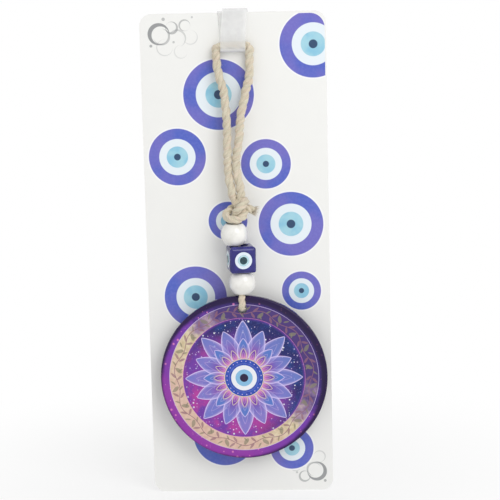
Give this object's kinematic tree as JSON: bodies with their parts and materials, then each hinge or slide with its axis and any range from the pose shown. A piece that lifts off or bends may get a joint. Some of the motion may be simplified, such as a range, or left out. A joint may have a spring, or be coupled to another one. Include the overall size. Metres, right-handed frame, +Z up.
{
  "type": "evil eye ornament",
  "caption": "Printed glass disc with white and blue eye beads hanging on a doubled jute loop, held by a folded strap to a tall backing card.",
  "frame": {"origin": "middle of the backing card's back face, which a wall or a display board holds", "axes": "+X across the card to the right as seen from the front, +Y into the card, away from the viewer, +Z up"},
  "size_m": [0.0764, 0.0152, 0.2053],
  "materials": {
    "card": "satin",
    "strap_film": "satin",
    "jute": "matte",
    "white_bead": "gloss",
    "blue_bead": "gloss",
    "eye_white": "gloss",
    "eye_blue": "gloss",
    "eye_pupil": "gloss",
    "disc_glass": "gloss",
    "disc_print": "satin",
    "disc_coat": "gloss"
  },
  "bodies": {
    "card": {"backing_card": "card", "hang_strap": "strap_film"},
    "loop": {"twine_loop": "jute"},
    "knot": {"loop_knot": "jute"},
    "stem": {"twine_stem": "jute"},
    "upper_bead": {"upper_bead": "white_bead"},
    "cube_bead": {"cube_bead": "blue_bead", "eye_white_front": "eye_white", "eye_white_right": "eye_white", "eye_white_back": "eye_white", "eye_white_left": "eye_white", "eye_blue_front": "eye_blue", "eye_blue_right": "eye_blue", "eye_blue_back": "eye_blue", "eye_blue_left": "eye_blue", "eye_pupil_front": "eye_pupil", "eye_pupil_right": "eye_pupil", "eye_pupil_back": "eye_pupil", "eye_pupil_left": "eye_pupil"},
    "lower_bead": {"lower_bead": "white_bead"},
    "disc": {"disc_blank": "disc_glass", "disc_picture": "disc_print", "disc_gloss": "disc_coat"}
  },
  "joints": [
    {"name": "loop_lift", "type": "hinge", "parent": "card", "child": "loop", "pos_m": [0, -0.00295, 0.0882], "axis": [-1, 0, 0], "range_deg": [0, 85]},
    {"name": "pendant_swing", "type": "hinge", "parent": "loop", "child": "knot", "pos_m": [0.0003, -0.0081, 0.0209], "axis": [0, 1, 0], "range_deg": [-20, 20]},
    {"name": "pendant_twist", "type": "hinge", "parent": "knot", "child": "stem", "pos_m": [0.0016, -0.0081, 0.0159], "axis": [0, 0, 1], "range_deg": [-7, 7], "stiffness_Nm_per_rad": 0.002},
    {"name": "upper_bead_spin", "type": "hinge", "parent": "stem", "child": "upper_bead", "pos_m": [-0.0011, -0.0081, 0.0112], "axis": [0, 0, 1], "continuous": true},
    {"name": "cube_bead_spin", "type": "hinge", "parent": "stem", "child": "cube_bead", "pos_m": [0.0016, -0.0081, 0.0009], "axis": [0, 0, 1], "continuous": true},
    {"name": "lower_bead_spin", "type": "hinge", "parent": "stem", "child": "lower_bead", "pos_m": [0.0018, -0.0081, -0.0094], "axis": [0, 0, 1], "continuous": true},
    {"name": "disc_swing", "type": "hinge", "parent": "stem", "child": "disc", "pos_m": [0.0016, -0.0081, -0.0202], "axis": [0, 1, 0], "range_deg": [-12, 12]}
  ]
}
